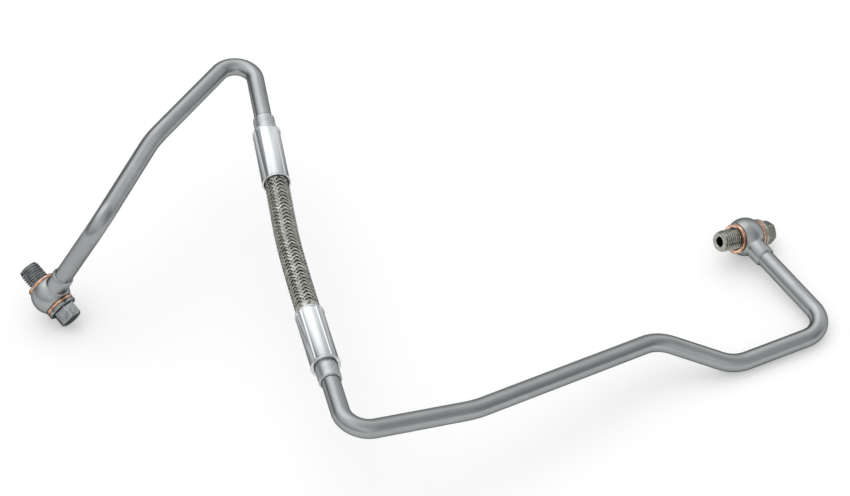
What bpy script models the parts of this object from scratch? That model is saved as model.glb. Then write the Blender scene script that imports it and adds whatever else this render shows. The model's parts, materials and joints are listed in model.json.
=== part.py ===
"""Turbo oil feed line: two bent steel tubes joined by a short braided hose, with a banjo fitting,
two copper washers and a hollow banjo bolt at each end. Metres, +Z up, lying as it comes to rest."""
import math

import bmesh
import bpy
from mathutils import Matrix, Vector

# Clearance left between pieces that touch on the real line
FIT_GAP = 0.0003

# Feed tubes
TUBE_DIAMETER = 0.010
TUBE_WALL = 0.0015
TUBE_SIDES_RESOLUTION = 6
BEND_STEP = math.radians(15)

# Corners of the tubes' centrelines, before the bends are rounded
LEFT_EYE = Vector((-0.2065, 0.0086, 0.0144))
LEFT_RISER_TOP = Vector((-0.1716, -0.0002, 0.0738))
LEFT_KINK = Vector((-0.1481, 0.0700, 0.0718))
LEFT_APEX = Vector((-0.0972, 0.1521, 0.0737))
HOSE_TOP = Vector((-0.0788, 0.0421, 0.0607))
HOSE_BOTTOM = Vector((-0.0598, -0.0561, 0.0555))
RIGHT_TURN = Vector((-0.0400, -0.1402, 0.0549))
RIGHT_KINK = Vector((0.0245, -0.1134, 0.0404))
RIGHT_STEP_TOP = Vector((0.1236, -0.0498, 0.0212))
RIGHT_STEP_FOOT = Vector((0.1653, -0.0548, 0.0050))
RIGHT_ELBOW = Vector((0.2215, -0.0296, 0.0050))
RIGHT_EYE = Vector((0.1824, 0.0387, 0.0118))

# Centreline radii of the bends, in the order of the corners
LEFT_BEND_RADII = [0.013, 0.060, 0.0114]
RIGHT_BEND_RADII = [0.013, 0.060, 0.024, 0.024, 0.015]

# The way each bolt's head points
LEFT_BOLT_AIM = Vector((0.640, -0.613, -0.464))
RIGHT_BOLT_AIM = Vector((0.803, 0.514, -0.300))

# The turn of each bolt's hexagon from the tube's direction
LEFT_HEX_TURN = math.radians(30)
RIGHT_HEX_TURN = math.radians(44)

# Banjo eyes
EYE_BALL_DIAMETER = 0.0218
EYE_WIDTH = 0.0135
NECK_DIAMETER = 0.012
NECK_REACH = 0.0193
NECK_RIM = 0.0006
NECK_SOCKET_DEPTH = 0.006
NECK_PASSAGE_DIAMETER = 0.005

# Banjo bolts, M12 by 1.5
THREAD_DIAMETER = 0.012
THREAD_REACH = 0.0114
THREAD_TIP_CHAMFER = 0.0014
WAIST_DIAMETER = 0.0095
WAIST_LENGTH = 0.007
BOLT_BORE_DIAMETER = 0.0055
CROSS_HOLE_DIAMETER = 0.0035
FLANGE_DIAMETER = 0.0172
FLANGE_THICKNESS = 0.002
HEX_ACROSS_FLATS = 0.012
HEX_HEIGHT = 0.0078
HEX_CHAMFER = 0.0009

# Copper washers
WASHER_DIAMETER = 0.0172
WASHER_THICKNESS = 0.0015
WASHER_EDGE = 0.0002

# Hose, from the liner outwards
LINER_BORE = 0.008
LINER_WALL = 0.0017
HOSE_DIAMETER = 0.0135
BRAID_RELIEF = 0.0003
BRAID_COLUMNS = 24
BRAID_ROW_PITCH = 0.00128
LINER_STEPS = 8

# How far the hose keeps each ferrule's direction, as shares of the length that shows
HOSE_LEAVE_PULL = 1.0
HOSE_ARRIVE_PULL = 2.0

# Hose tails and ferrules
COLLAR_DIAMETER = 0.0122
COLLAR_SHOWING = 0.011
COLLAR_INSIDE = 0.002
COLLAR_ROUND = 0.0012
COLLAR_SOCKET_DEPTH = 0.0105
STEM_LENGTH = 0.032
STEM_WAIST = 0.0004
STEM_BORE = 0.005
BARB_COUNT = 3
FERRULE_DIAMETER = 0.016
FERRULE_LENGTH = 0.039
FERRULE_LIP = 0.0015
FERRULE_SIDES = 40
FERRULE_EDGE = 0.0004
CRIMP_COUNT = 5
CRIMP_DEPTH = 0.0003
CRIMP_END_MARGIN = 0.0016
CRIMP_RUN_OUT = 0.0012
RIDGE_SHARE = 0.125

# The turn of each ferrule's first ridge from its uppermost line
UPPER_CRIMP_TURN = math.radians(27)
LOWER_CRIMP_TURN = math.radians(30)

# Facets round a turned piece
TURNED_STEPS = 24
BALL_ARC_STEPS = 10
MERGE_DISTANCE = 0.00001

STEEL = (0.46, 0.47, 0.48, 1.0)
ZINC = (0.78, 0.80, 0.82, 1.0)
COPPER = (0.72, 0.38, 0.22, 1.0)
BOLT_GREY = (0.22, 0.23, 0.23, 1.0)
BRAID_GREY = (0.42, 0.40, 0.36, 1.0)
RUBBER = (0.03, 0.03, 0.03, 1.0)


def clear_scene():
    """Remove every object that the file opened with."""
    for item in list(bpy.data.objects):
        bpy.data.objects.remove(item, do_unlink=True)


def new_collection(name):
    """Make a collection under the scene."""
    collection = bpy.data.collections.new(name)
    bpy.context.scene.collection.children.link(collection)
    return collection


def new_material(name, colour, roughness, metallic):
    """Make a Principled material of one colour."""
    material = bpy.data.materials.new(name)
    material.use_nodes = True
    shader = material.node_tree.nodes["Principled BSDF"]
    shader.inputs["Base Color"].default_value = colour
    shader.inputs["Roughness"].default_value = roughness
    shader.inputs["Metallic"].default_value = metallic
    return material


def new_frame(name, origin, z_axis, x_axis, parent):
    """Make an empty whose Z is z_axis and whose X is the part of x_axis square to it."""
    z = z_axis.normalized()
    x = (x_axis - z * x_axis.dot(z)).normalized()
    y = z.cross(x)
    matrix = Matrix((x, y, z)).transposed().to_4x4()
    matrix.translation = origin
    frame = bpy.data.objects.new(name, None)
    PARTS.objects.link(frame)
    frame.parent = parent
    frame.matrix_local = matrix
    return frame


def place(item, frame, material=None):
    """Put a piece in its frame and give it its material."""
    PARTS.objects.link(item)
    item.parent = frame
    if material:
        item.data.materials.append(material)
    return item


def place_cutter(item, frame):
    """Put a cutter, or a shape to be joined on, in its frame and hide it."""
    CUTTERS.objects.link(item)
    item.parent = frame
    item.hide_render = True
    item.display_type = "WIRE"
    return item


def smooth(mesh):
    """Shade a mesh smooth, apart from its edges."""
    mesh.shade_smooth()
    mesh.set_sharp_from_angle(angle=math.radians(35))


def turned(name, profile, closed=False):
    """Turn a profile of (radius, height) points, listed down the outer side, about local Z."""
    count = len(profile)
    edges = [(i, i + 1) for i in range(count - 1)]
    if closed:
        edges.append((count - 1, 0))
    mesh = bpy.data.meshes.new(name)
    mesh.from_pydata([(radius, 0.0, height) for radius, height in profile], edges, [])
    item = bpy.data.objects.new(name, mesh)
    screw = item.modifiers.new("Turn", "SCREW")
    screw.steps = TURNED_STEPS
    screw.render_steps = TURNED_STEPS
    screw.use_merge_vertices = True
    screw.merge_threshold = MERGE_DISTANCE
    return item


def combine(item, operation, other):
    """Add an exact Boolean of another object."""
    modifier = item.modifiers.new(other.name, "BOOLEAN")
    modifier.operation = operation
    modifier.solver = "EXACT"
    modifier.object = other


def drill(item, name, diameter, start, end, frame, rotation=(0.0, 0.0, 0.0)):
    """Cut a round hole along the drill's own Z, from start to end."""
    mesh = bpy.data.meshes.new(name)
    shape = bmesh.new()
    move = Matrix.Translation((0.0, 0.0, (start + end) / 2))
    bmesh.ops.create_cone(shape, cap_ends=True, segments=TURNED_STEPS, radius1=diameter / 2,
                          radius2=diameter / 2, depth=end - start, matrix=move)
    shape.to_mesh(mesh)
    shape.free()
    cutter = place_cutter(bpy.data.objects.new(name, mesh), frame)
    cutter.rotation_euler = rotation
    combine(item, "DIFFERENCE", cutter)


ALONG_X = (0.0, math.pi / 2, 0.0)
ALONG_Y = (-math.pi / 2, 0.0, 0.0)


def ring_profile(outer, inner, low, high, edge):
    """Give the closed profile of a ring with small chamfers on its outer edges."""
    return [(outer - edge, high), (outer, high - edge), (outer, low + edge), (outer - edge, low),
            (inner, low), (inner, high)]


def make_washer(name, middle, frame):
    """A copper sealing washer, centred at a height on the bolt's axis."""
    bore = THREAD_DIAMETER / 2 + FIT_GAP
    half = WASHER_THICKNESS / 2
    profile = ring_profile(WASHER_DIAMETER / 2, bore, middle - half, middle + half, WASHER_EDGE)
    washer = turned(name, profile, closed=True)
    return place(washer, frame, MATERIALS["copper"])


def make_eye(name, frame):
    """A ball with two flats, bored for the bolt, with a neck along local X for the tube."""
    radius = EYE_BALL_DIAMETER / 2
    half = EYE_WIDTH / 2
    limit = math.asin(half / radius)
    arc = [limit - 2 * limit * i / BALL_ARC_STEPS for i in range(BALL_ARC_STEPS + 1)]
    side = [(radius * math.cos(angle), radius * math.sin(angle)) for angle in arc]
    eye = turned(name, [(0.0, half)] + side + [(0.0, -half)])
    neck_radius = NECK_DIAMETER / 2
    neck_profile = [(0.0, NECK_REACH), (neck_radius - NECK_RIM, NECK_REACH),
                    (neck_radius, NECK_REACH - NECK_RIM), (neck_radius, 0.0), (0.0, 0.0)]
    neck = place_cutter(turned(name + "_neck", neck_profile), frame)
    neck.rotation_euler = ALONG_X
    combine(eye, "UNION", neck)
    drill(eye, name + "_bore", THREAD_DIAMETER + 2 * FIT_GAP, -EYE_WIDTH, EYE_WIDTH, frame)
    drill(eye, name + "_socket", TUBE_DIAMETER + 2 * FIT_GAP, NECK_REACH - NECK_SOCKET_DEPTH,
          NECK_REACH * 2, frame, ALONG_X)
    drill(eye, name + "_passage", NECK_PASSAGE_DIAMETER, 0.0, NECK_REACH, frame, ALONG_X)
    return place(eye, frame, MATERIALS["steel"])


def make_hex(name, low, high, turn, frame):
    """A hexagon with its outer corners turned off, one corner at an angle from local X."""
    corner = HEX_ACROSS_FLATS / 2 / math.cos(math.pi / 6)
    middle = Matrix.Translation((0.0, 0.0, (low + high) / 2))
    corner_on_x = Matrix.Rotation(-math.pi / 2, 4, "Z")
    mesh = bpy.data.meshes.new(name)
    shape = bmesh.new()
    bmesh.ops.create_cone(shape, cap_ends=True, segments=6, radius1=corner, radius2=corner,
                          depth=high - low, matrix=middle @ Matrix.Rotation(turn, 4, "Z") @ corner_on_x)
    shape.to_mesh(mesh)
    shape.free()
    hexagon = place_cutter(bpy.data.objects.new(name, mesh), frame)
    face = HEX_ACROSS_FLATS / 2 - HEX_CHAMFER / 2
    wide = corner + HEX_CHAMFER
    drop = (wide - face) * math.tan(math.radians(30))
    past = low - HEX_CHAMFER
    limit = turned(name + "_chamfer", [(0.0, high + HEX_CHAMFER), (face - HEX_CHAMFER, high + HEX_CHAMFER),
                                       (face, high), (wide, high - drop), (wide, past), (0.0, past)])
    combine(hexagon, "INTERSECT", place_cutter(limit, frame))
    return hexagon


def make_bolt(name, hex_turn, frame):
    """A hollow bolt: hexagon and flange at +Z, waisted shank through the eye, thread end at -Z."""
    seat = EYE_WIDTH / 2 + 2 * FIT_GAP + WASHER_THICKNESS
    flange_top = seat + FLANGE_THICKNESS
    tip = FIT_GAP - seat - THREAD_REACH
    shank = THREAD_DIAMETER / 2
    waist = WAIST_DIAMETER / 2
    taper = shank - waist
    half_waist = WAIST_LENGTH / 2
    bore = BOLT_BORE_DIAMETER / 2
    flange = FLANGE_DIAMETER / 2
    profile = [(0.0, flange_top), (flange - WASHER_EDGE, flange_top), (flange, flange_top - WASHER_EDGE),
               (flange, seat), (shank, seat), (shank, half_waist + taper), (waist, half_waist),
               (waist, -half_waist), (shank, -half_waist - taper), (shank, tip + THREAD_TIP_CHAMFER),
               (shank - THREAD_TIP_CHAMFER, tip), (bore, tip), (bore, half_waist),
               (0.0, half_waist + bore / 2)]
    bolt = turned(name, profile)
    hexagon = make_hex(name + "_hex", flange_top - FLANGE_THICKNESS / 2, flange_top + HEX_HEIGHT,
                       hex_turn, frame)
    combine(bolt, "UNION", hexagon)
    drill(bolt, name + "_cross_hole_x", CROSS_HOLE_DIAMETER, -shank, shank, frame, ALONG_X)
    drill(bolt, name + "_cross_hole_y", CROSS_HOLE_DIAMETER, -shank, shank, frame, ALONG_Y)
    return place(bolt, frame, MATERIALS["bolt"])


def make_banjo(side, eye_centre, tube_corner, bolt_aim, hex_turn, root):
    """One end of the line: eye, bolt and two washers."""
    tube_way = (tube_corner - eye_centre).normalized()
    square_aim = bolt_aim - tube_way * bolt_aim.dot(tube_way)
    frame = new_frame(side + "_banjo_frame", eye_centre, square_aim, tube_way, root)
    washer_height = EYE_WIDTH / 2 + FIT_GAP + WASHER_THICKNESS / 2
    make_eye(side + "_banjo_eye", frame)
    make_washer(side + "_port_washer", -washer_height, frame)
    make_washer(side + "_head_washer", washer_height, frame)
    make_bolt(side + "_banjo_bolt", hex_turn, frame)


def bend(before, corner, after, radius):
    """Give the points of an arc that rounds a corner."""
    back = (before - corner).normalized()
    onward = (after - corner).normalized()
    turn = math.pi - back.angle(onward)
    start = corner + back * radius * math.tan(turn / 2)
    centre = corner + (back + onward).normalized() * radius / math.cos(turn / 2)
    axis = onward.cross(back).normalized()
    steps = max(2, round(turn / BEND_STEP))
    spoke = start - centre
    return [centre + Matrix.Rotation(turn * i / steps, 3, axis) @ spoke for i in range(steps + 1)]


def bent_path(start, corners, end, radii):
    """Give the centreline of a bent tube."""
    stops = [start] + corners + [end]
    path = [start]
    for i, radius in enumerate(radii, start=1):
        path += bend(stops[i - 1], stops[i], stops[i + 1], radius)
    return path + [end]


def make_pipe(name, path, diameter, wall, material, root):
    """A hollow round pipe along a path: an open bevelled curve thickened inwards."""
    curve = bpy.data.curves.new(name, "CURVE")
    curve.dimensions = "3D"
    curve.bevel_depth = diameter / 2
    curve.bevel_resolution = TUBE_SIDES_RESOLUTION
    curve.render_resolution_u = 0
    spline = curve.splines.new("POLY")
    spline.points.add(len(path) - 1)
    for point, place_on_path in zip(spline.points, path):
        point.co = (*place_on_path, 1.0)
    pipe = bpy.data.objects.new(name, curve)
    shell = pipe.modifiers.new("Wall", "SOLIDIFY")
    shell.thickness = wall
    shell.offset = -1.0
    return place(pipe, root, material)


def ring_at(centre, across, up, radii):
    """Give a ring of points about a centre, one for each radius."""
    count = len(radii)
    turns = [2 * math.pi * j / count for j in range(count)]
    return [centre + (across * math.cos(turn) + up * math.sin(turn)) * radius
            for turn, radius in zip(turns, radii)]


def loft_shell(name, outer_rings, inner_rings):
    """Skin a hollow piece between rings that run the same way along its outside and its bore."""
    mesh = bpy.data.meshes.new(name)
    shape = bmesh.new()
    loop = outer_rings + inner_rings[::-1]
    rows = [[shape.verts.new(point) for point in ring] for ring in loop]
    for first, second in zip(rows, rows[1:] + rows[:1]):
        for j, vertex in enumerate(first):
            following = (j + 1) % len(first)
            shape.faces.new((vertex, first[following], second[following], second[j]))
    bmesh.ops.recalc_face_normals(shape, faces=shape.faces)
    shape.to_mesh(mesh)
    shape.free()
    smooth(mesh)
    return bpy.data.objects.new(name, mesh)


def crimp_radius(turn, depth):
    """Give the ferrule's radius at an angle: pressed between narrow ridges."""
    share = (turn * CRIMP_COUNT / (2 * math.pi)) % 1.0
    on_ridge = share < RIDGE_SHARE / 2 or share > 1 - RIDGE_SHARE / 2
    return FERRULE_DIAMETER / 2 - (0.0 if on_ridge else depth)


def make_ferrule(name, crimp_turn, frame):
    """A crimped sleeve, its lipped end at the frame's origin and its open end over the hose."""
    across = Vector((math.cos(crimp_turn), math.sin(crimp_turn), 0.0))
    up = Vector((-math.sin(crimp_turn), math.cos(crimp_turn), 0.0))
    pressed_from = CRIMP_END_MARGIN
    pressed_to = FERRULE_LENGTH - CRIMP_END_MARGIN
    stations = [(0.0, 0.0, FERRULE_EDGE), (FERRULE_EDGE, 0.0, 0.0), (pressed_from, 0.0, 0.0),
                (pressed_from + CRIMP_RUN_OUT, CRIMP_DEPTH, 0.0),
                (pressed_to - CRIMP_RUN_OUT, CRIMP_DEPTH, 0.0), (pressed_to, 0.0, 0.0),
                (FERRULE_LENGTH - FERRULE_EDGE, 0.0, 0.0),
                (FERRULE_LENGTH, 0.0, FERRULE_EDGE)]
    turns = [2 * math.pi * j / FERRULE_SIDES for j in range(FERRULE_SIDES)]
    outer = []
    for height, depth, edge in stations:
        radii = [crimp_radius(turn, depth) - edge for turn in turns]
        outer.append(ring_at(Vector((0, 0, height)), across, up, radii))
    lip_radius = COLLAR_DIAMETER / 2 + FIT_GAP
    bore_radius = HOSE_DIAMETER / 2 + FIT_GAP
    inner = []
    for height, radius in ((0.0, lip_radius), (FERRULE_LIP, lip_radius), (FERRULE_LIP, bore_radius),
                           (FERRULE_LENGTH, bore_radius)):
        inner.append(ring_at(Vector((0, 0, height)), across, up, [radius] * FERRULE_SIDES))
    return place(loft_shell(name, outer, inner), frame, MATERIALS["zinc"])


def make_tail(name, frame):
    """A hose tail: the tube's socket outside the ferrule and a barbed stem inside the hose."""
    collar = COLLAR_DIAMETER / 2
    socket = TUBE_DIAMETER / 2 + FIT_GAP
    mouth = -COLLAR_SHOWING
    floor = mouth + COLLAR_SOCKET_DEPTH
    barb = LINER_BORE / 2 - FIT_GAP
    stem = barb - STEM_WAIST
    bore = STEM_BORE / 2
    end = COLLAR_INSIDE + STEM_LENGTH
    pitch = STEM_LENGTH / (BARB_COUNT + 1)
    barbs = []
    for i in range(BARB_COUNT):
        top = end - i * pitch
        barbs += [(stem, top), (barb, top - pitch / 2), (stem, top - pitch / 2)]
    profile = [(bore, end)] + barbs + [(stem, COLLAR_INSIDE), (collar, COLLAR_INSIDE),
                                       (collar, mouth + COLLAR_ROUND), (collar - COLLAR_ROUND / 3, mouth),
                                       (socket, mouth), (socket, floor), (bore, floor)]
    tail = turned(name, profile, closed=True)
    return place(tail, frame, MATERIALS["steel"])


def make_hose_end(side, ferrule_mouth, hose_way, crimp_turn, root):
    """One hose end: ferrule and tail, in a frame at the ferrule's lip with Z into the hose."""
    origin = ferrule_mouth - hose_way * FERRULE_LENGTH
    frame = new_frame(side + "_hose_frame", origin, hose_way, Vector((0, 0, 1)), root)
    make_ferrule(side + "_ferrule", crimp_turn, frame)
    make_tail(side + "_hose_tail", frame)
    return origin


def hose_path(steps):
    """Give the hose's centreline: straight in both ferrules and a gentle curve between them."""
    hidden = FERRULE_LENGTH - COLLAR_INSIDE - FIT_GAP
    chord = (HOSE_BOTTOM - HOSE_TOP).length
    leave = UPPER_WAY * chord * HOSE_LEAVE_PULL
    arrive = -LOWER_WAY * chord * HOSE_ARRIVE_PULL
    path = [HOSE_TOP - UPPER_WAY * hidden]
    for i in range(steps + 1):
        t = i / steps
        near = HOSE_TOP * (2 * t ** 3 - 3 * t ** 2 + 1) + leave * (t ** 3 - 2 * t ** 2 + t)
        far = HOSE_BOTTOM * (3 * t ** 2 - 2 * t ** 3) + arrive * (t ** 3 - t ** 2)
        path.append(near + far)
    return path + [HOSE_BOTTOM - LOWER_WAY * hidden]


def rings_along(path, row_radii):
    """Give the rings round a path, each ring's radii from row_radii of its row."""
    rings = []
    last = len(path) - 1
    for i, centre in enumerate(path):
        along = (path[min(i + 1, last)] - path[max(i - 1, 0)]).normalized()
        across = (Vector((0, 0, 1)) - along * along.z).normalized()
        rings.append(ring_at(centre, across, along.cross(across), row_radii(i)))
    return rings


def make_braid(root):
    """The wire braid: raised where a strand passes over, plain where the ferrules grip it."""
    shown = (HOSE_BOTTOM - HOSE_TOP).length
    rows = round(shown / BRAID_ROW_PITCH)
    high = HOSE_DIAMETER / 2
    low = high - BRAID_RELIEF

    def woven(i):
        """Give a row's radii, alternating round the hose and along it."""
        if i <= 1 or i >= rows + 1:
            return [low] * BRAID_COLUMNS
        return [high if (i + j) % 2 == 0 else low for j in range(BRAID_COLUMNS)]

    def plain(_row):
        """Give a bore row's radii."""
        return [LINER_BORE / 2 + LINER_WALL + FIT_GAP] * BRAID_COLUMNS

    outer = rings_along(hose_path(rows), woven)
    inner = rings_along(hose_path(LINER_STEPS), plain)
    return place(loft_shell("braid_sleeve", outer, inner), root, MATERIALS["braid"])


def stand_at_origin(root):
    """Move the whole line so that its box stands on the origin, centred."""
    bpy.context.view_layer.update()
    graph = bpy.context.evaluated_depsgraph_get()
    points = []
    for item in PARTS.objects:
        if item.type == "EMPTY":
            continue
        evaluated = item.evaluated_get(graph)
        mesh = evaluated.to_mesh()
        points += [item.matrix_world @ vertex.co for vertex in mesh.vertices]
        evaluated.to_mesh_clear()
    low = [min(point[axis] for point in points) for axis in range(3)]
    high = [max(point[axis] for point in points) for axis in range(3)]
    root.location = (-(low[0] + high[0]) / 2, -(low[1] + high[1]) / 2, -low[2])


clear_scene()
PARTS = new_collection("turbo_oil_feed_line")
CUTTERS = new_collection("cutters")
MATERIALS = {
    "steel": new_material("plated_steel", STEEL, 0.35, 0.9),
    "zinc": new_material("bright_zinc", ZINC, 0.25, 1.0),
    "copper": new_material("copper", COPPER, 0.35, 1.0),
    "bolt": new_material("phosphated_steel", BOLT_GREY, 0.5, 0.8),
    "braid": new_material("stainless_braid", BRAID_GREY, 0.4, 0.9),
    "rubber": new_material("black_rubber", RUBBER, 0.7, 0.0),
}
UPPER_WAY = (HOSE_TOP - LEFT_APEX).normalized()
LOWER_WAY = (HOSE_BOTTOM - RIGHT_TURN).normalized()

line_root = bpy.data.objects.new("line_frame", None)
PARTS.objects.link(line_root)

make_banjo("left", LEFT_EYE, LEFT_RISER_TOP, LEFT_BOLT_AIM, LEFT_HEX_TURN, line_root)
make_banjo("right", RIGHT_EYE, RIGHT_ELBOW, RIGHT_BOLT_AIM, RIGHT_HEX_TURN, line_root)
upper_lip = make_hose_end("upper", HOSE_TOP, UPPER_WAY, UPPER_CRIMP_TURN, line_root)
lower_lip = make_hose_end("lower", HOSE_BOTTOM, LOWER_WAY, LOWER_CRIMP_TURN, line_root)

tube_start = NECK_REACH - NECK_SOCKET_DEPTH + FIT_GAP
tube_stop = COLLAR_SOCKET_DEPTH - COLLAR_SHOWING - FIT_GAP
left_start = LEFT_EYE + (LEFT_RISER_TOP - LEFT_EYE).normalized() * tube_start
right_start = RIGHT_EYE + (RIGHT_ELBOW - RIGHT_EYE).normalized() * tube_start
left_path = bent_path(left_start, [LEFT_RISER_TOP, LEFT_KINK, LEFT_APEX],
                      upper_lip + UPPER_WAY * tube_stop, LEFT_BEND_RADII)
right_path = bent_path(lower_lip + LOWER_WAY * tube_stop,
                       [RIGHT_TURN, RIGHT_KINK, RIGHT_STEP_TOP, RIGHT_STEP_FOOT, RIGHT_ELBOW],
                       right_start, RIGHT_BEND_RADII)
make_pipe("left_feed_tube", left_path, TUBE_DIAMETER, TUBE_WALL, MATERIALS["steel"], line_root)
make_pipe("right_feed_tube", right_path, TUBE_DIAMETER, TUBE_WALL, MATERIALS["steel"], line_root)
make_pipe("hose_liner", hose_path(LINER_STEPS), LINER_BORE + 2 * LINER_WALL, LINER_WALL,
          MATERIALS["rubber"], line_root)
make_braid(line_root)
stand_at_origin(line_root)
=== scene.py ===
"""Looks of the turbo oil feed line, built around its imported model, and the studio that it lies in."""
import json
import math

import bmesh
import bpy
import numpy as np
from mathutils import Matrix, Vector


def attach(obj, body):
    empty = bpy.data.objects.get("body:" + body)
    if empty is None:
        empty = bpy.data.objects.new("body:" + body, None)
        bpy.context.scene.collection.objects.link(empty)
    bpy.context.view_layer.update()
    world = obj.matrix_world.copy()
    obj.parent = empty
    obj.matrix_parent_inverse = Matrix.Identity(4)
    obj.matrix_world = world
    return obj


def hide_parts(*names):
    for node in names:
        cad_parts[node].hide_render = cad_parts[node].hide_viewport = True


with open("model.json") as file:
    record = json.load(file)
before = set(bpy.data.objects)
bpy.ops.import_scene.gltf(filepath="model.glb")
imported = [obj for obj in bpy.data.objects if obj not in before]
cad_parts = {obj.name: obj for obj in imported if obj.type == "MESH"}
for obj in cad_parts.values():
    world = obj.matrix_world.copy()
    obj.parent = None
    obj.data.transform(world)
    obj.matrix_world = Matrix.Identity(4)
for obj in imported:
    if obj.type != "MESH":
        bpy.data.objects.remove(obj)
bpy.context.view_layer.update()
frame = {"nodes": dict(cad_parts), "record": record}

# Sizes of the solids, in metres
TUBE_DIAMETER = 0.010
TUBE_WALL = 0.0015
EYE_BALL_DIAMETER = 0.0218
EYE_WIDTH = 0.0135
NECK_DIAMETER = 0.012
NECK_REACH = 0.0193
NECK_SOCKET_DEPTH = 0.006
THREAD_DIAMETER = 0.012
THREAD_REACH = 0.0114
BOLT_BORE_DIAMETER = 0.0055
FLANGE_DIAMETER = 0.0172
FLANGE_THICKNESS = 0.002
HEX_ACROSS_FLATS = 0.012
HEX_HEIGHT = 0.0078
WASHER_DIAMETER = 0.0172
WASHER_THICKNESS = 0.0015
HOSE_DIAMETER = 0.0135
COLLAR_DIAMETER = 0.0122
COLLAR_SHOWING = 0.011
COLLAR_SOCKET_DEPTH = 0.0105
STEM_BORE = 0.005
FERRULE_DIAMETER = 0.016
FERRULE_LENGTH = 0.039
FIT_GAP = 0.0003

# Corners of the tubes' centrelines, as in the solids
LEFT_EYE = Vector((-0.2065, 0.0086, 0.0144))
LEFT_RISER_TOP = Vector((-0.1716, -0.0002, 0.0738))
LEFT_KINK = Vector((-0.1481, 0.0700, 0.0718))
LEFT_APEX = Vector((-0.0972, 0.1521, 0.0737))
HOSE_TOP = Vector((-0.0788, 0.0421, 0.0607))
HOSE_BOTTOM = Vector((-0.0598, -0.0561, 0.0555))
RIGHT_TURN = Vector((-0.0400, -0.1402, 0.0549))
RIGHT_KINK = Vector((0.0245, -0.1134, 0.0404))
RIGHT_STEP_TOP = Vector((0.1236, -0.0498, 0.0212))
RIGHT_STEP_FOOT = Vector((0.1653, -0.0548, 0.0050))
RIGHT_ELBOW = Vector((0.2215, -0.0296, 0.0050))
RIGHT_EYE = Vector((0.1824, 0.0387, 0.0118))
LEFT_BEND_RADII = [0.013, 0.060, 0.0114]
RIGHT_BEND_RADII = [0.013, 0.060, 0.024, 0.024, 0.015]
LEFT_HEX_TURN = math.radians(30)
RIGHT_HEX_TURN = math.radians(44)
HOSE_LEAVE_PULL = 1.0
HOSE_ARRIVE_PULL = 2.0
UPPER_CRIMP_TURN = math.radians(27)
LOWER_CRIMP_TURN = math.radians(30)

# Fineness of the visible meshes
TUBE_SIDES = 48
BEND_STEP = math.radians(3)
STRAIGHT_STEP = 0.006
TURNED_SIDES = 72
BALL_SIDES = 96
BALL_STEPS = 36
NECK_SIDES = 64
FERRULE_SIDES = 192
THREAD_COLUMNS = 64
THREAD_ROWS_A_TURN = 14
HOSE_SAMPLES = 400
BRAID_STEP = math.radians(5)
SHARP_ANGLE = math.radians(38)

# The small disc that closes a turned profile, how far a cutter passes its work, and a hair's breadth
POLE_RADIUS = 0.0001
CUTTER_SPARE = 0.001
HAIR = 0.0001

# The thread, with its root and both its flanks as shares of a pitch, and the bolt's tip below it
THREAD_PITCH = 0.0015
THREAD_DEPTH = 0.0009
THREAD_ROOT_SHARE = 0.18
THREAD_FLANK_SHARE = 0.66
THREAD_START = 0.0002
TIP_RING = 0.0013
TIP_RING_STEP = THREAD_DEPTH * 0.55
TIP_ROUND = 0.0008
TIP_GROOVE = 0.0004
TIP_FACE_EDGE = 0.0003
BORE_EDGE = 0.0004
BORE_TOP = 0.004
BORE_POINT = 0.0052

# The bolt's head, the washers and the eye's neck
FLANGE_ROUND = 0.0005
HEX_SINK = 0.0005
HEX_END_ROUND = 0.0008
HEX_END_SLOPE = math.radians(30)
HEX_EDGE_ROUND = 0.0004
WASHER_SQUEEZE = 0.9
EYE_RIM = 0.0004
NECK_ROOT = 0.003
NECK_FILLET = 0.0016
NECK_SLOPE = 0.0013

# The ferrules and the hose tails
CRIMP_COUNT = 5
CRIMP_DEPTH = 0.00042
CRIMP_MARGIN = 0.0008
CRIMP_RUN_OUT = 0.0007
RIDGE_HALF_WIDTH = 0.0009
LIP_ROUND = 0.0006
LIP_THICKNESS = 0.0015
RIM_ROUND = 0.00035
INNER_EDGE = 0.0002
COLLAR_ROUND = 0.0011
COLLAR_REACH = 0.002
STEM_DIAMETER = 0.0068
STEM_REACH = 0.030

# The braid
CARRIERS_EACH_WAY = 12
CROSSING_PITCH = 0.00267
WIRE_DIAMETER = 0.00025
WIRE_RELIEF = 0.00006
RIBBON_WIRES = 5
RIBBON_LIFT = 0.00034
RIBBON_BACK = 0.00007
BRAID_TUCK = 0.004

# Tints of the metals, and how much they shine at their outlines
STEEL_TINT = (0.955, 1.0, 1.012)
ZINC_TINT = (0.955, 1.0, 1.015)
WIRE_TINT = (1.0, 0.995, 0.90)
DARK_BOLT_TINT = (0.95, 1.0, 1.02)
YELLOW_BOLT_TINT = (1.0, 1.0, 0.90)
OUTLINE_SHINE = 0.22

# Camera, floor and light
CAMERA_PLACE = Vector((0.0016, -0.9104, 0.8968))
CAMERA_ELEVATION = math.radians(43)
CAMERA_ROLL = math.radians(-2)
CAMERA_LENS = 97.4
FLOOR_SIZE = 60.0
FLOOR_DROP = 0.0003
FLOOR_COLOUR = (0.74, 0.74, 0.74, 1.0)
FLOOR_LIFT = 0.29
HORIZON_LIGHT = 0.44
ZENITH_LIGHT = 1.35

# Soft patches of more or less light: azimuth from straight behind, height, reach and strength
LIGHT_PATCHES = {
    "soft_box": (math.radians(-34), math.radians(50), math.radians(39), 0.64),
    "left_flag": (math.radians(-50), math.radians(10), math.radians(49), -0.37),
    "right_flag": (math.radians(114), math.radians(51), math.radians(56), -0.52),
    "right_card": (math.radians(60), math.radians(17), math.radians(38), 0.25),
    "front_fill": (math.radians(152), math.radians(23), math.radians(39), 0.32),
}


def unit(vector):
    """Give a vector's direction."""
    return vector.normalized()


mounts = {mount["name"]: mount for mount in frame["record"]["mounts"]}
seat_height = EYE_WIDTH / 2 + 2 * FIT_GAP + WASHER_THICKNESS
head_height = seat_height + FLANGE_THICKNESS + HEX_HEIGHT


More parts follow.
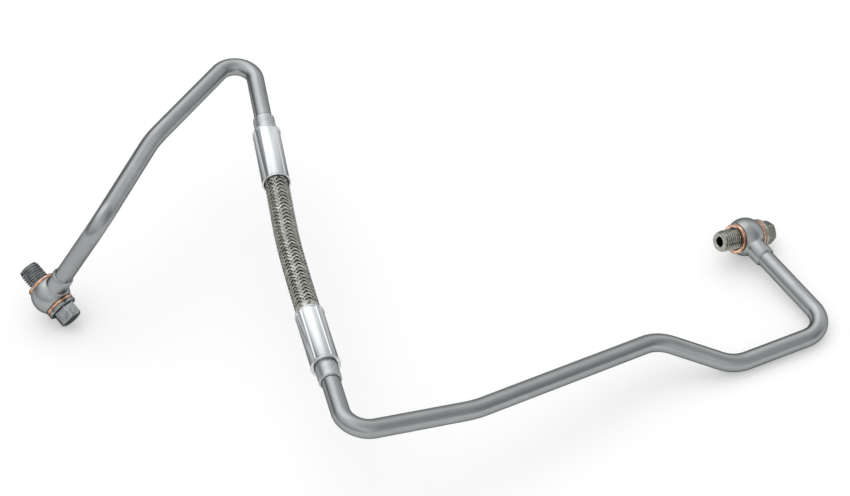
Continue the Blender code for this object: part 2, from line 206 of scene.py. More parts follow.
def eye_from_mount(side):
    """Give a banjo's centre and bolt direction from the mount on its bolt's head."""
    face = mounts[side + "_bolt_head_face"]
    axis = unit(Vector(face["axis"]))
    return Vector(face["pos_m"]) - axis * head_height, axis


def frame_matrix(origin, z_axis, x_axis):
    """Give the matrix whose Z is z_axis and whose X is the part of x_axis square to it."""
    z = unit(z_axis)
    x = unit(x_axis - z * x_axis.dot(z))
    y = z.cross(x)
    matrix = Matrix((x, y, z)).transposed().to_4x4()
    matrix.translation = origin
    return matrix


left_centre, left_axis = eye_from_mount("left")
right_centre, right_axis = eye_from_mount("right")
shift = left_centre - LEFT_EYE


class Recipe:
    """A short way to build a node material."""

    def __init__(self, name):
        self.material = bpy.data.materials.new(name)
        self.material.use_nodes = True
        self.tree = self.material.node_tree
        self.shader = self.tree.nodes["Principled BSDF"]

    def node(self, kind, **values):
        """Add a node and set its fields."""
        made = self.tree.nodes.new(kind)
        for field, value in values.items():
            setattr(made, field, value)
        return made

    def join(self, source, target):
        """Link an output to an input."""
        self.tree.links.new(source, target)

    def coordinates(self, scale, source="UV"):
        """Give coordinates stretched by a scale."""
        place = self.node("ShaderNodeTexCoord")
        mapping = self.node("ShaderNodeMapping")
        mapping.inputs["Scale"].default_value = scale
        self.join(place.outputs[source], mapping.inputs["Vector"])
        return mapping.outputs["Vector"]

    def noise(self, vector, scale, detail=4.0, roughness=0.55):
        """Give a noise value over coordinates."""
        made = self.node("ShaderNodeTexNoise")
        made.inputs["Scale"].default_value = scale
        made.inputs["Detail"].default_value = detail
        made.inputs["Roughness"].default_value = roughness
        self.join(vector, made.inputs["Vector"])
        return made.outputs["Fac"]

    def ramp(self, value, stops):
        """Map a value to colours or greys at stops."""
        made = self.node("ShaderNodeValToRGB")
        elements = made.color_ramp.elements
        while len(elements) < len(stops):
            elements.new(0.5)
        for element, (place, colour) in zip(elements, stops):
            element.position = place
            element.color = (*colour, 1.0)
        self.join(value, made.inputs["Fac"])
        return made.outputs["Color"]

    def spread(self, value, low, high, start=0.3, end=0.7):
        """Map a noise value to a range of numbers."""
        made = self.node("ShaderNodeMapRange")
        made.inputs["From Min"].default_value = start
        made.inputs["From Max"].default_value = end
        made.inputs["To Min"].default_value = low
        made.inputs["To Max"].default_value = high
        self.join(value, made.inputs["Value"])
        return made.outputs["Result"]

    def bump(self, value, distance, strength=1.0, below=None):
        """Raise the surface by a value."""
        made = self.node("ShaderNodeBump")
        made.inputs["Distance"].default_value = distance
        made.inputs["Strength"].default_value = strength
        self.join(value, made.inputs["Height"])
        if below:
            self.join(below, made.inputs["Normal"])
        return made.outputs["Normal"]

    def finish(self, colour, roughness, normal, metallic, edge=OUTLINE_SHINE):
        """Connect the results to the shader; edge is how much a metal shines at its outline."""
        self.join(colour, self.shader.inputs["Base Color"])
        self.join(roughness, self.shader.inputs["Roughness"])
        self.join(normal, self.shader.inputs["Normal"])
        self.shader.inputs["Metallic"].default_value = metallic
        self.shader.inputs["Specular Tint"].default_value = (edge, edge, edge, 1.0)
        return self.material


def tinted(value, tint):
    """Give a colour of a brightness and a tint."""
    return tuple(value * part for part in tint)


def plated_steel(name, dark, light, rough_low, rough_high):
    """Satin plated steel: soft clouds of tone, fine lines along the piece and a slight grain."""
    recipe = Recipe(name)
    clouds = recipe.noise(recipe.coordinates((90, 60, 90)), 1.0, 3.0)
    lines = recipe.noise(recipe.coordinates((2600, 60, 2600)), 1.0, 3.0)
    grain = recipe.noise(recipe.coordinates((1900, 1900, 1900)), 1.0, 4.0, 0.6)
    tone = recipe.ramp(clouds, [(0.3, tinted(dark, STEEL_TINT)), (0.7, tinted(light, STEEL_TINT))])
    roughness = recipe.spread(clouds, rough_high, rough_low)
    ground = recipe.bump(grain, 0.000012, 0.4)
    normal = recipe.bump(lines, 0.000008, 0.5, ground)
    return recipe.finish(tone, roughness, normal, 1.0)


def bright_zinc(name):
    """Bright zinc with die lines along the sleeve."""
    recipe = Recipe(name)
    lines = recipe.noise(recipe.coordinates((2400, 18, 2400)), 1.0, 4.0)
    clouds = recipe.noise(recipe.coordinates((120, 120, 120)), 1.0, 3.0)
    tone = recipe.ramp(lines, [(0.25, tinted(0.56, ZINC_TINT)), (0.75, tinted(0.74, ZINC_TINT))])
    roughness = recipe.spread(clouds, 0.18, 0.10)
    normal = recipe.bump(lines, 0.000010, 0.5)
    return recipe.finish(tone, roughness, normal, 1.0)


def mottled_steel(name):
    """The hose tails' matt, mottled plating."""
    recipe = Recipe(name)
    spots = recipe.noise(recipe.coordinates((800, 800, 800)), 1.0, 5.0, 0.7)
    tones = ((0.3, 0.30), (0.5, 0.48), (0.7, 0.68))
    stops = [(place, tinted(tone, STEEL_TINT)) for place, tone in tones]
    roughness = recipe.spread(spots, 0.40, 0.26)
    normal = recipe.bump(spots, 0.00009, 0.6)
    return recipe.finish(recipe.ramp(spots, stops), roughness, normal, 1.0)


def copper(name):
    """Copper, a little tarnished in patches."""
    recipe = Recipe(name)
    patches = recipe.noise(recipe.coordinates((260, 260, 260), "Object"), 1.0, 5.0, 0.65)
    grain = recipe.noise(recipe.coordinates((1800, 1800, 1800), "Object"), 1.0, 3.0)
    stops = [(0.3, (0.22, 0.11, 0.07)), (0.48, (0.56, 0.33, 0.23)), (0.7, (0.95, 0.70, 0.58))]
    roughness = recipe.spread(patches, 0.24, 0.12)
    normal = recipe.bump(grain, 0.00003, 0.4)
    return recipe.finish(recipe.ramp(patches, stops), roughness, normal, 1.0)


def bolt_steel(name, dark, light, tint, speckle):
    """Dull treated steel with a fine speckle; in its lighter copies it is a painted highlight on the
    hexagons' rounded edges.
    """
    recipe = Recipe(name)
    patches = recipe.noise(recipe.coordinates((speckle, speckle, speckle), "Object"), 1.0, 5.0, 0.65)
    grain = recipe.noise(recipe.coordinates((2000, 2000, 2000), "Object"), 1.0, 3.0)
    tone = recipe.ramp(patches, [(0.32, tinted(dark, tint)), (0.68, tinted(light, tint))])
    roughness = recipe.spread(grain, 0.22, 0.12)
    normal = recipe.bump(grain, 0.00003, 0.5)
    return recipe.finish(tone, roughness, normal, 1.0)


def braid_wire(name):
    """Stainless wire, warm grey, its tone and gloss changing from strand to strand."""
    recipe = Recipe(name)
    along = recipe.noise(recipe.coordinates((900, 130, 900)), 1.0, 3.0)
    tone = recipe.ramp(along, [(0.33, tinted(0.08, WIRE_TINT)), (0.67, tinted(0.74, WIRE_TINT))])
    roughness = recipe.spread(along, 0.18, 0.08)
    normal = recipe.bump(along, 0.00002, 0.4)
    return recipe.finish(tone, roughness, normal, 1.0, 0.0)


def black_rubber(name):
    """The liner's dull rubber."""
    recipe = Recipe(name)
    grain = recipe.noise(recipe.coordinates((900, 900, 900), "Object"), 1.0, 3.0)
    tone = recipe.ramp(grain, [(0.3, (0.012, 0.012, 0.012)), (0.7, (0.022, 0.022, 0.022))])
    return recipe.finish(tone, recipe.spread(grain, 0.75, 0.6), recipe.bump(grain, 0.00003, 0.4), 0.0)


def skin(name, rings, material, closed_rows=False, caps=(False, False)):
    """Make a mesh through rings of points, with UVs in metres: across the piece, then along it."""
    rings = np.asarray(rings, float)
    rows, columns, _ = rings.shape
    vertices = rings.reshape(-1, 3)
    around = np.linalg.norm(np.roll(rings, -1, axis=1) - rings, axis=2).cumsum(axis=1)
    around = np.concatenate([np.zeros((rows, 1)), around], axis=1)
    middles = rings.mean(axis=1)
    edges = rings[:, 0]
    step = np.maximum(np.linalg.norm(np.diff(middles, axis=0), axis=1),
                      np.linalg.norm(np.diff(edges, axis=0), axis=1))
    along = np.concatenate([[0.0], step.cumsum()])
    faces = []
    uvs = []
    for i in range(rows if closed_rows else rows - 1):
        following = (i + 1) % rows
        v0, v1 = along[i], along[i] + step[min(i, rows - 2)]
        for j in range(columns):
            k = (j + 1) % columns
            faces.append((i * columns + j, i * columns + k, following * columns + k, following * columns + j))
            uvs += [(around[i, j], v0), (around[i, j + 1], v0), (around[i, j + 1], v1), (around[i, j], v1)]
    for wanted, row, order in ((caps[0], 0, -1), (caps[1], rows - 1, 1)):
        if wanted:
            faces.append(tuple(row * columns + j for j in range(columns))[::order])
            uvs += [(0.0, along[row])] * columns
    mesh = bpy.data.meshes.new(name)
    mesh.from_pydata(vertices.tolist(), [], faces)
    layer = mesh.uv_layers.new(name="UVMap")
    layer.data.foreach_set("uv", np.asarray(uvs, float).ravel())
    shape = bmesh.new()
    shape.from_mesh(mesh)
    bmesh.ops.recalc_face_normals(shape, faces=shape.faces)
    shape.to_mesh(mesh)
    shape.free()
    mesh.shade_smooth()
    mesh.set_sharp_from_angle(angle=SHARP_ANGLE)
    mesh.materials.append(material)
    piece = bpy.data.objects.new(name, mesh)
    bpy.context.scene.collection.objects.link(piece)
    return piece


def turned_rings(profile, sides=TURNED_SIDES):
    """Give the rings of a profile of (radius, height) points turned about Z."""
    turns = np.linspace(0, 2 * math.pi, sides, endpoint=False)
    return [[(radius * math.cos(t), radius * math.sin(t), height) for t in turns]
            for radius, height in profile]


def rod(name, radius, top, bottom, material):
    """Make a plain cylinder about Z, to cut a bore with."""
    return skin(name, turned_rings([(radius, top), (radius, bottom)]), material, caps=(True, True))


def arc_points(centre, radius, start, end, steps):
    """Give points on an arc in a profile, its angles in degrees."""
    angles = np.radians(np.linspace(start, end, steps + 1))
    return [(centre[0] + radius * math.cos(a), centre[1] + radius * math.sin(a)) for a in angles]


def combine(piece, operation, other):
    """Apply an exact Boolean with another piece, which is then removed."""
    modifier = piece.modifiers.new(operation, "BOOLEAN")
    modifier.operation = operation
    modifier.solver = "EXACT"
    modifier.object = other
    apply_modifiers(piece)
    bpy.data.objects.remove(other)
    piece.data.shade_smooth()
    piece.data.set_sharp_from_angle(angle=SHARP_ANGLE)


def apply_modifiers(piece):
    """Turn a piece's modifiers into its mesh."""
    bpy.context.view_layer.update()
    graph = bpy.context.evaluated_depsgraph_get()
    mesh = bpy.data.meshes.new_from_object(piece.evaluated_get(graph))
    piece.modifiers.clear()
    piece.data = mesh


def show(piece, node, matrix=None):
    """Put a piece in its frame and let it stand for a node."""
    if matrix is not None:
        piece.data.transform(matrix)
    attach(piece, "root")
    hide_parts(node)


def washer(name, node, height, matrix, material):
    """A flat copper ring with rounded edges, squeezed until it closes the gaps that the solids keep."""
    inner = THREAD_DIAMETER / 2 + FIT_GAP
    outer = WASHER_DIAMETER / 2
    half = WASHER_THICKNESS / 2 + FIT_GAP * WASHER_SQUEEZE
    edge = WASHER_THICKNESS / 2
    profile = [(inner + edge / 2, height + half)]
    profile += arc_points((outer - edge, height + half - edge), edge, 90, 0, 5)
    profile += arc_points((outer - edge, height - half + edge), edge, 0, -90, 5)
    profile += [(inner + edge / 2, height - half), (inner, height - half + edge / 2)]
    profile.append((inner, height + half - edge / 2))
    piece = skin(name, turned_rings(profile), material, closed_rows=True)
    show(piece, node, matrix)


def eye_ball(name, material):
    """Make an eye's ball, with a flat for each washer."""
    radius = EYE_BALL_DIAMETER / 2
    half = EYE_WIDTH / 2
    limit = math.degrees(math.asin((half - EYE_RIM) / radius))
    flat = radius * math.cos(math.radians(limit))
    rim = [(flat - EYE_RIM, half), (flat - EYE_RIM * 0.35, half - EYE_RIM * 0.2)]
    profile = [(POLE_RADIUS, half)] + rim
    profile += arc_points((0, 0), radius, limit, -limit, BALL_STEPS)
    profile += [(across, -height) for across, height in rim[::-1]]
    profile.append((POLE_RADIUS, -half))
    return skin(name, turned_rings(profile, BALL_SIDES), material, caps=(True, True))


def eye_neck(name, material):
    """Make an eye's neck, with a fillet at the ball and a slope down to the tube."""
    ball = EYE_BALL_DIAMETER / 2
    neck = NECK_DIAMETER / 2
    fillet_height = math.sqrt((ball + NECK_FILLET) ** 2 - (neck + NECK_FILLET) ** 2)
    share = ball / (ball + NECK_FILLET)
    foot = math.degrees(math.atan2(-fillet_height, -(neck + NECK_FILLET)))
    profile = [(POLE_RADIUS, NECK_ROOT), ((neck + NECK_FILLET) * share, NECK_ROOT)]
    profile += arc_points((neck + NECK_FILLET, fillet_height), NECK_FILLET, foot, -180, 8)
    profile += [(neck, NECK_REACH - NECK_SLOPE), (neck - HAIR, NECK_REACH - NECK_SLOPE * 0.8)]
    profile += [(TUBE_DIAMETER / 2, NECK_REACH), (POLE_RADIUS, NECK_REACH)]
    return skin(name, turned_rings(profile, NECK_SIDES), material, caps=(True, True))


def eye(name, node, matrix, material):
    """A ball with flats, bored for the bolt, that flows into its neck."""
    toward_tube = Matrix.Rotation(math.pi / 2, 4, "Y")
    ball = eye_ball(name, material)
    neck = eye_neck(name + "_neck", material)
    neck.data.transform(toward_tube)
    combine(ball, "UNION", neck)
    bore = rod(name + "_bore", THREAD_DIAMETER / 2 + FIT_GAP, EYE_WIDTH, -EYE_WIDTH, material)
    combine(ball, "DIFFERENCE", bore)
    seat = NECK_REACH - NECK_SOCKET_DEPTH
    socket = rod(name + "_socket", TUBE_DIAMETER / 2 + FIT_GAP / 3, NECK_REACH * 2, seat, material)
    socket.data.transform(toward_tube)
    combine(ball, "DIFFERENCE", socket)
    show(ball, node, matrix)


def thread_radius(height, turn):
    """Give the thread's radius at a height and an angle."""
    place = (height / THREAD_PITCH + turn / (2 * math.pi)) % 1.0
    wave = abs(2 * place - 1)
    cut = 1 - min(max((wave - THREAD_ROOT_SHARE) / THREAD_FLANK_SHARE, 0.0), 1.0)
    return THREAD_DIAMETER / 2 - THREAD_DEPTH * cut * cut * (3 - 2 * cut)


def tip_limit(above):
    """Give the bolt's largest radius above its tip: a rounded ring, a groove, then the full shank."""
    shank = THREAD_DIAMETER / 2
    if above > TIP_RING + TIP_GROOVE:
        return shank
    if above > TIP_RING:
        return shank - THREAD_DEPTH
    corner = max(TIP_ROUND - above, 0.0) / TIP_ROUND
    return shank - TIP_RING_STEP - (1 - math.sqrt(1 - corner * corner)) * TIP_ROUND


def thread_rings(tip):
    """Give the rings of the threaded shank, from the eye down to the tip."""
    turns = np.linspace(0, 2 * math.pi, THREAD_COLUMNS, endpoint=False)
    start = -EYE_WIDTH / 2 - THREAD_START
    rows = int((start - tip) / THREAD_PITCH * THREAD_ROWS_A_TURN)
    rings = []
    for height in np.linspace(start, tip, rows):
        limit = tip_limit(height - tip)
        radii = [min(thread_radius(height, t), limit) for t in turns]
        rings.append([(r * math.cos(t), r * math.sin(t), height) for r, t in zip(radii, turns)])
    return rings


def bolt(name, node, matrix, material, edge_highlight, hex_turn):
    """A hollow bolt: threaded shank with a rounded tip ring, flange and hexagon."""
    shank = THREAD_DIAMETER / 2 - HAIR
    bore = BOLT_BORE_DIAMETER / 2
    corner = FLANGE_DIAMETER / 2 - FLANGE_ROUND
    top = seat_height + FLANGE_THICKNESS
    tip = FIT_GAP - seat_height - THREAD_REACH
    profile = [(POLE_RADIUS, top), (corner - FLANGE_ROUND * 1.4, top)]
    profile += arc_points((corner, top - FLANGE_ROUND), FLANGE_ROUND, 80, 0, 5)
    profile += arc_points((corner, seat_height + FLANGE_ROUND), FLANGE_ROUND, 0, -90, 4)
    profile += [(shank, seat_height), (shank, -EYE_WIDTH / 2)]
    ends = [(tip_limit(0.0) - TIP_FACE_EDGE, tip), (bore + BORE_EDGE, tip), (bore, tip + BORE_EDGE)]
    ends += [(bore, BORE_TOP), (POLE_RADIUS, BORE_POINT)]
    rings = turned_rings(profile, THREAD_COLUMNS) + thread_rings(tip) + turned_rings(ends, THREAD_COLUMNS)
    show(skin(name, rings, material, caps=(True, True)), node, matrix)
    head = hexagon(name + "_hex", top, material, edge_highlight)
    head.data.transform(Matrix.Rotation(hex_turn, 4, "Z"))
    show(head, node, matrix)


def hexagon(name, top, material, edge_highlight):
    """A bolt's hexagon on its flange, its end turned to a cone and its edges rounded, with a painted
    highlight on them: a lighter material on the bevel.
    """
    corner = HEX_ACROSS_FLATS / 2 / math.cos(math.pi / 6)
    sides = turned_rings([(corner, top + HEX_HEIGHT), (corner, top - HEX_SINK)], 6)
    head = skin(name, sides, material, caps=(True, True))
    high = top + HEX_HEIGHT - HAIR / 10
    low = top - 2 * CUTTER_SPARE
    past = corner + CUTTER_SPARE
    shoulder = HEX_ACROSS_FLATS / 2 - HEX_END_ROUND
    profile = [(POLE_RADIUS, high)]
    profile += arc_points((shoulder, high - HEX_END_ROUND), HEX_END_ROUND, 90, 60, 4)
    last_radius, last_height = profile[-1]
    drop = (past - last_radius) * math.tan(HEX_END_SLOPE)
    profile += [(past, last_height - drop), (past, low), (POLE_RADIUS, low)]
    limit = skin(name + "_chamfer", turned_rings(profile), material, caps=(True, True))
    combine(head, "INTERSECT", limit)
    # The bevel's faces take this lighter second material: a painted highlight on the hexagon's edges.
    head.data.materials.append(edge_highlight)
    soften = head.modifiers.new("Edges", "BEVEL")
    soften.width = HEX_EDGE_ROUND
    soften.segments = 3
    soften.limit_method = "ANGLE"
    soften.angle_limit = math.radians(40)
    soften.material = 1
    flatten = head.modifiers.new("Flat faces", "WEIGHTED_NORMAL")
    flatten.keep_sharp = True
    apply_modifiers(head)
    return head


def bend(before, corner, after, radius):
    """Give the points of an arc that rounds a corner."""
    back = unit(before - corner)
    onward = unit(after - corner)
    turn = math.pi - back.angle(onward)
    start = corner + back * radius * math.tan(turn / 2)
    centre = corner + unit(back + onward) * radius / math.cos(turn / 2)
    axis = unit(onward.cross(back))
    steps = max(2, round(turn / BEND_STEP))
    spoke = start - centre
    return [centre + Matrix.Rotation(turn * i / steps, 3, axis) @ spoke for i in range(steps + 1)]


def bent_path(stops, radii):
    """Give the centreline of a bent tube, with points along its straight runs too."""
    coarse = [stops[0]]
    for i, radius in enumerate(radii, start=1):
        coarse += bend(stops[i - 1], stops[i], stops[i + 1], radius)
    coarse.append(stops[-1])
    path = [coarse[0]]
    for first, second in zip(coarse, coarse[1:]):
        pieces = max(1, math.ceil((second - first).length / STRAIGHT_STEP))
        path += [first.lerp(second, i / pieces) for i in range(1, pieces + 1)]
    return path


def path_frames(path):
    """Carry a pair of cross directions along a path without twist."""
    last = len(path) - 1
    along = unit(path[1] - path[0])
    across = unit(Vector((0, 0, 1)) - along * along.z)
    frames = []
    for i, centre in enumerate(path):
        along = unit(path[min(i + 1, last)] - path[max(i - 1, 0)])
        across = unit(across - along * across.dot(along))
        frames.append((centre, across, along.cross(across)))
    return frames


def ring_at(frame_here, radius, sides):
    """Give a round ring in a frame of a path."""
    centre, across, up = frame_here
    turns = np.linspace(0, 2 * math.pi, sides, endpoint=False)
    return [centre + across * (radius * math.cos(t)) + up * (radius * math.sin(t)) for t in turns]


def tube(name, node, path, material):
    """A hollow bent tube."""
    frames = path_frames(path)
    outer = [ring_at(here, TUBE_DIAMETER / 2, TUBE_SIDES) for here in frames]
    inner = [ring_at(here, TUBE_DIAMETER / 2 - TUBE_WALL, TUBE_SIDES) for here in frames[::-1]]
    piece = skin(name, outer + inner, material, closed_rows=True)
    show(piece, node)


def crimp(turn, depth):
    """Give the ferrule's radius at an angle: pressed all round but for narrow ridges left by the dies."""
    share = 2 * math.pi / CRIMP_COUNT
    off = abs((turn + share / 2) % share - share / 2) * FERRULE_DIAMETER / 2
    ridge = math.cos(min(off / RIDGE_HALF_WIDTH, 1.0) * math.pi / 2) ** 2
    return FERRULE_DIAMETER / 2 - depth * (1 - ridge)


def ferrule_stations():
    """Give (height, crimp depth, inset) along a ferrule's outside, from its lip to its rim."""
    outer = FERRULE_DIAMETER / 2
    lip = arc_points((outer - LIP_ROUND, LIP_ROUND), LIP_ROUND, -90, 0, 7)
    rim = arc_points((outer - RIM_ROUND, FERRULE_LENGTH - RIM_ROUND), RIM_ROUND, 0, 90, 4)
    steps = np.linspace(0, 1, 6)
    fall = CRIMP_DEPTH * (3 * steps ** 2 - 2 * steps ** 3)
    pressed_to = FERRULE_LENGTH - CRIMP_MARGIN
    stations = [(height, 0.0, outer - radius) for radius, height in lip]
    stations += [(CRIMP_MARGIN + CRIMP_RUN_OUT * s, d, 0.0) for s, d in zip(steps, fall)]
    stations += [(pressed_to - CRIMP_RUN_OUT * s, d, 0.0) for s, d in zip(steps[::-1], fall[::-1])]
    return stations + [(height, 0.0, outer - radius) for radius, height in rim]


def ferrule(name, node, matrix, crimp_turn, material):
    """A crimped sleeve with a rounded lip at the collar and a bright rim at the hose."""
    turns = np.linspace(0, 2 * math.pi, FERRULE_SIDES, endpoint=False)
    rings = []
    for height, depth, inset in ferrule_stations():
        radii = [crimp(t, depth) - inset for t in turns]
        rings.append([(r * math.cos(t), r * math.sin(t), height) for r, t in zip(radii, turns)])
    bore = HOSE_DIAMETER / 2 + FIT_GAP
    lip = COLLAR_DIAMETER / 2 + FIT_GAP / 2
    profile = [(bore + INNER_EDGE, FERRULE_LENGTH), (bore, FERRULE_LENGTH - INNER_EDGE)]
    profile += [(bore, LIP_THICKNESS), (lip, LIP_THICKNESS), (lip, INNER_EDGE), (lip + INNER_EDGE, 0.0)]
    rings += turned_rings(profile, FERRULE_SIDES)
    piece = skin(name, rings, material, closed_rows=True)
    piece.data.transform(Matrix.Rotation(crimp_turn, 4, "Z"))
    show(piece, node, matrix)


def hose_tail(name, node, matrix, material):
    """The collar between tube and ferrule, with its stem inside the hose."""
    collar = COLLAR_DIAMETER / 2
    socket = TUBE_DIAMETER / 2 + FIT_GAP / 3
    mouth = -COLLAR_SHOWING
    floor = mouth + COLLAR_SOCKET_DEPTH
    stem = STEM_DIAMETER / 2
    bore = STEM_BORE / 2
    profile = [(stem, STEM_REACH), (stem, COLLAR_REACH), (collar, COLLAR_REACH)]
    profile.append((collar, mouth + COLLAR_ROUND * 1.5))
    profile += arc_points((collar - COLLAR_ROUND, mouth + COLLAR_ROUND), COLLAR_ROUND, 0, -75, 8)
    profile += [(socket, mouth + HAIR), (socket, floor), (bore, floor), (bore, STEM_REACH)]
    piece = skin(name, turned_rings(profile), material, closed_rows=True)
    show(piece, node, matrix)


def hose_point(t):
    """Give a point of the visible hose's centreline, t from 0 at the top to 1 at the bottom."""
    chord = (hose_bottom - hose_top).length
    leave = upper_way * chord * HOSE_LEAVE_PULL
    arrive = lower_way * chord * HOSE_ARRIVE_PULL
    near = hose_top * (2 * t ** 3 - 3 * t ** 2 + 1) + leave * (t ** 3 - 2 * t ** 2 + t)
    far = hose_bottom * (3 * t ** 2 - 2 * t ** 3) - arrive * (t ** 3 - t ** 2)
    return near + far


def braid_route():
    """Give close points along the hose and into each ferrule, and how far along each one lies."""
    points = [hose_top - upper_way * BRAID_TUCK]
    points += [hose_point(t) for t in np.linspace(0, 1, HOSE_SAMPLES)]
    points.append(hose_bottom + lower_way * BRAID_TUCK)
    steps = [(b - a).length for a, b in zip(points, points[1:])]
    return np.array(points), np.concatenate([[0.0], np.cumsum(steps)])


def braid_frames(points, distances, steps):
    """Give frames at even distances along the braid."""
    wanted = np.linspace(0, distances[-1], steps + 1)
    even = np.stack([np.interp(wanted, distances, points[:, k]) for k in range(3)], axis=1)
    return path_frames([Vector(point) for point in even])


def ribbon_section():
    """Give a ribbon's cross-section as (across, out) points: wires side by side on a flat back."""
    points = []
    radius = WIRE_DIAMETER / 2
    for wire_index in range(RIBBON_WIRES):
        middle = (wire_index - (RIBBON_WIRES - 1) / 2) * WIRE_DIAMETER
        points += [(x, y * WIRE_RELIEF / radius) for x, y in arc_points((middle, 0.0), radius, 180, 36, 4)]
    edge = RIBBON_WIRES * radius
    return points + [(edge, 0.0), (edge, -RIBBON_BACK), (-edge, -RIBBON_BACK)]


def braid_way(name, node, sign, material):
    """All the carriers that wind one way, each a ribbon that passes over two and under two."""
    points, distances = braid_route()
    length = distances[-1]
    middle = HOSE_DIAMETER / 2 - WIRE_RELIEF - RIBBON_LIFT
    columns = 2 * math.pi / CARRIERS_EACH_WAY
    turn_a_metre = columns / CROSSING_PITCH
    braid_angle = math.atan(turn_a_metre * middle)
    steps = math.ceil(length * turn_a_metre / BRAID_STEP)
    frames = braid_frames(points, distances, steps)
    section = ribbon_section()
    meshes = []
    for carrier in range(CARRIERS_EACH_WAY):
        rings = []
        for i, (centre, across, up) in enumerate(frames):
            travelled = length * i / steps
            turn = columns * carrier + sign * (columns / 4 + travelled * turn_a_metre)
            over = math.cos(turn * CARRIERS_EACH_WAY / 2) * sign
            radius = middle + RIBBON_LIFT * over
            out = across * math.cos(turn) + up * math.sin(turn)
            round_way = up * math.cos(turn) - across * math.sin(turn)
            along = out.cross(round_way) * -1
            side = round_way * math.cos(braid_angle) + along * (sign * math.sin(braid_angle))
            here = centre + out * radius
            ring = []
            for x, y in section:
                point = here + side * x + out * y
                sag = x * math.cos(braid_angle)
                ring.append(point - out * (sag * sag / (2 * radius)))
            rings.append(ring)
        meshes.append(skin(name, rings, material, caps=(True, True)))
    piece = meshes[0]
    shape = bmesh.new()
    for other in meshes:
        shape.from_mesh(other.data)
    shape.to_mesh(piece.data)
    shape.free()
    for other in meshes[1:]:
        bpy.data.objects.remove(other)
    show(piece, node)


def studio():
    """Make the white floor, the softly lit room and the camera."""
    bpy.ops.mesh.primitive_plane_add(size=FLOOR_SIZE, location=(0, 0, -FLOOR_DROP))
    floor = bpy.context.object
    floor.name = "studio_floor"
    floor.data.materials.append(floor_material())
    world = bpy.data.worlds.new("studio")
    bpy.context.scene.world = world
    world.use_nodes = True
    sky(world.node_tree)
    scene = bpy.context.scene
    scene.view_settings.view_transform = "Standard"
    lens = bpy.data.cameras.new("photo_camera")
    lens.sensor_fit = "HORIZONTAL"
    lens.lens = CAMERA_LENS
    lens.clip_end = 200
    camera = bpy.data.objects.new("photo_camera", lens)
    scene.collection.objects.link(camera)
    tilt = Matrix.Rotation(math.pi / 2 - CAMERA_ELEVATION, 4, "X")
    roll = Matrix.Rotation(CAMERA_ROLL, 4, "Z")
    camera.matrix_world = Matrix.Translation(CAMERA_PLACE + shift) @ tilt @ roll
    scene.camera = camera


def floor_material():
    """White, diffuse, and lifted to full white where the camera or a reflection sees it."""
    recipe = Recipe("white_floor")
    recipe.shader.inputs["Base Color"].default_value = FLOOR_COLOUR
    recipe.shader.inputs["Roughness"].default_value = 1.0
    recipe.shader.inputs["Specular IOR Level"].default_value = 0.0
    path = recipe.node("ShaderNodeLightPath")
    seen = recipe.node("ShaderNodeMath", operation="MAXIMUM")
    recipe.join(path.outputs["Is Camera Ray"], seen.inputs[0])
    recipe.join(path.outputs["Is Glossy Ray"], seen.inputs[1])
    through = recipe.node("ShaderNodeMath", operation="MAXIMUM")
    recipe.join(seen.outputs[0], through.inputs[0])
    recipe.join(path.outputs["Is Transmission Ray"], through.inputs[1])
    lift = recipe.node("ShaderNodeMath", operation="MULTIPLY")
    lift.inputs[1].default_value = FLOOR_LIFT
    recipe.join(through.outputs[0], lift.inputs[0])
    recipe.shader.inputs["Emission Color"].default_value = (1.0, 1.0, 1.0, 1.0)
    recipe.join(lift.outputs[0], recipe.shader.inputs["Emission Strength"])
    return recipe.material


def sky(tree):
    """Light the room softly: brighter overhead than at the walls, with wide patches of more or less light."""
    nodes, links = tree.nodes, tree.links
    place = nodes.new("ShaderNodeTexCoord").outputs["Generated"]
    split = nodes.new("ShaderNodeSeparateXYZ")
    links.new(place, split.inputs[0])
    total = graded(tree, split.outputs["Z"], (0.0, 1.0), (HORIZON_LIGHT, ZENITH_LIGHT), "LINEAR")
    for azimuth, height, reach, strength in LIGHT_PATCHES.values():
        toward = nodes.new("ShaderNodeVectorMath")
        toward.operation = "DOT_PRODUCT"
        links.new(place, toward.inputs[0])
        toward.inputs[1].default_value = (math.sin(azimuth) * math.cos(height),
                                          math.cos(azimuth) * math.cos(height), math.sin(height))
        patch = graded(tree, toward.outputs["Value"], (math.cos(reach), 1.0), (0.0, strength), "SMOOTHSTEP")
        both = nodes.new("ShaderNodeMath")
        links.new(total, both.inputs[0])
        links.new(patch, both.inputs[1])
        total = both.outputs[0]
    links.new(total, nodes["Background"].inputs["Strength"])
    nodes["Background"].inputs["Color"].default_value = (1.0, 1.0, 1.0, 1.0)


def graded(tree, value, span, result, way):
    """Map a value from one span to another."""
    made = tree.nodes.new("ShaderNodeMapRange")
    made.interpolation_type = way
    made.inputs["From Min"].default_value, made.inputs["From Max"].default_value = span
    made.inputs["To Min"].default_value, made.inputs["To Max"].default_value = result
    tree.links.new(value, made.inputs["Value"])
    return made.outputs["Result"]


steel = plated_steel("plated_tube", 0.33, 0.38, 0.22, 0.29)
eye_steel = plated_steel("plated_eye", 0.35, 0.41, 0.24, 0.33)
zinc = bright_zinc("bright_zinc")
tail_steel = mottled_steel("mottled_tail")
copper_metal = copper("copper")
left_bolt_steel = bolt_steel("left_bolt_steel", 0.19, 0.42, DARK_BOLT_TINT, 260)
# Lighter copies of the bolt steels, given to the hexagons' bevels as a painted highlight on their edges.
left_painted_edge_highlight = bolt_steel("left_painted_edge_highlight", 0.50, 0.66, DARK_BOLT_TINT, 260)
right_bolt_steel = bolt_steel("right_bolt_steel", 0.24, 0.52, YELLOW_BOLT_TINT, 900)
right_painted_edge_highlight = bolt_steel("right_painted_edge_highlight", 0.58, 0.72, YELLOW_BOLT_TINT, 900)
wire = braid_wire("stainless_wire")

left_eye_matrix = frame_matrix(left_centre, left_axis, LEFT_RISER_TOP - LEFT_EYE)
right_eye_matrix = frame_matrix(right_centre, right_axis, RIGHT_ELBOW - RIGHT_EYE)
washer_height = EYE_WIDTH / 2 + FIT_GAP + WASHER_THICKNESS / 2

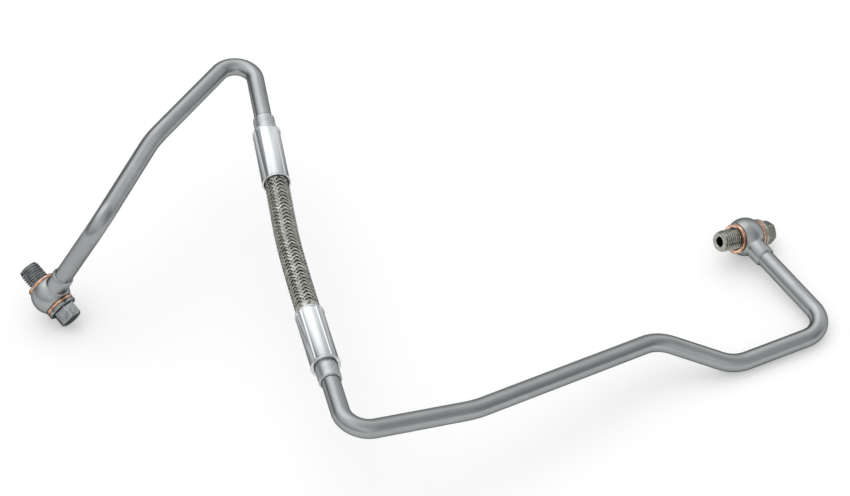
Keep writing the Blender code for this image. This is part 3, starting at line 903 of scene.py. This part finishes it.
studio()
for side, matrix, finish, edge_highlight, turn in (
        ("left", left_eye_matrix, left_bolt_steel, left_painted_edge_highlight, LEFT_HEX_TURN),
        ("right", right_eye_matrix, right_bolt_steel, right_painted_edge_highlight, RIGHT_HEX_TURN)):
    eye(side + "_eye", side + "_banjo_eye", matrix, eye_steel)
    washer(side + "_port_ring", side + "_port_washer", -washer_height, matrix, copper_metal)
    washer(side + "_head_ring", side + "_head_washer", washer_height, matrix, copper_metal)
    bolt(side + "_bolt", side + "_banjo_bolt", matrix, finish, edge_highlight, turn)

hose_top = HOSE_TOP + shift
hose_bottom = HOSE_BOTTOM + shift
upper_way = unit(HOSE_TOP - LEFT_APEX)
lower_way = unit(HOSE_BOTTOM - RIGHT_TURN)
upper_lip = hose_top - upper_way * FERRULE_LENGTH
lower_lip = hose_bottom - lower_way * FERRULE_LENGTH
for end, lip, way, turn in (("upper", upper_lip, upper_way, UPPER_CRIMP_TURN),
                            ("lower", lower_lip, lower_way, LOWER_CRIMP_TURN)):
    matrix = frame_matrix(lip, way, Vector((0, 0, 1)))
    ferrule(end + "_sleeve", end + "_ferrule", matrix, turn, zinc)
    hose_tail(end + "_collar", end + "_hose_tail", matrix, tail_steel)

tube_start = NECK_REACH - NECK_SOCKET_DEPTH + FIT_GAP
tube_stop = COLLAR_SOCKET_DEPTH - COLLAR_SHOWING - FIT_GAP
left_start = left_centre + unit(LEFT_RISER_TOP - LEFT_EYE) * tube_start
right_end = right_centre + unit(RIGHT_ELBOW - RIGHT_EYE) * tube_start
left_stops = [left_start] + [corner + shift for corner in (LEFT_RISER_TOP, LEFT_KINK, LEFT_APEX)]
left_stops.append(upper_lip + upper_way * tube_stop)
right_corners = (RIGHT_TURN, RIGHT_KINK, RIGHT_STEP_TOP, RIGHT_STEP_FOOT, RIGHT_ELBOW)
right_stops = [lower_lip + lower_way * tube_stop] + [corner + shift for corner in right_corners] + [right_end]
tube("left_tube", "left_feed_tube", bent_path(left_stops, LEFT_BEND_RADII), steel)
tube("right_tube", "right_feed_tube", bent_path(right_stops, RIGHT_BEND_RADII), steel)

braid_way("braid_clockwise", "braid_sleeve", 1, wire)
braid_way("braid_anticlockwise", "braid_sleeve", -1, wire)
liner = frame["nodes"]["hose_liner"]
liner.data.materials.clear()
liner.data.materials.append(black_rubber("liner_rubber"))
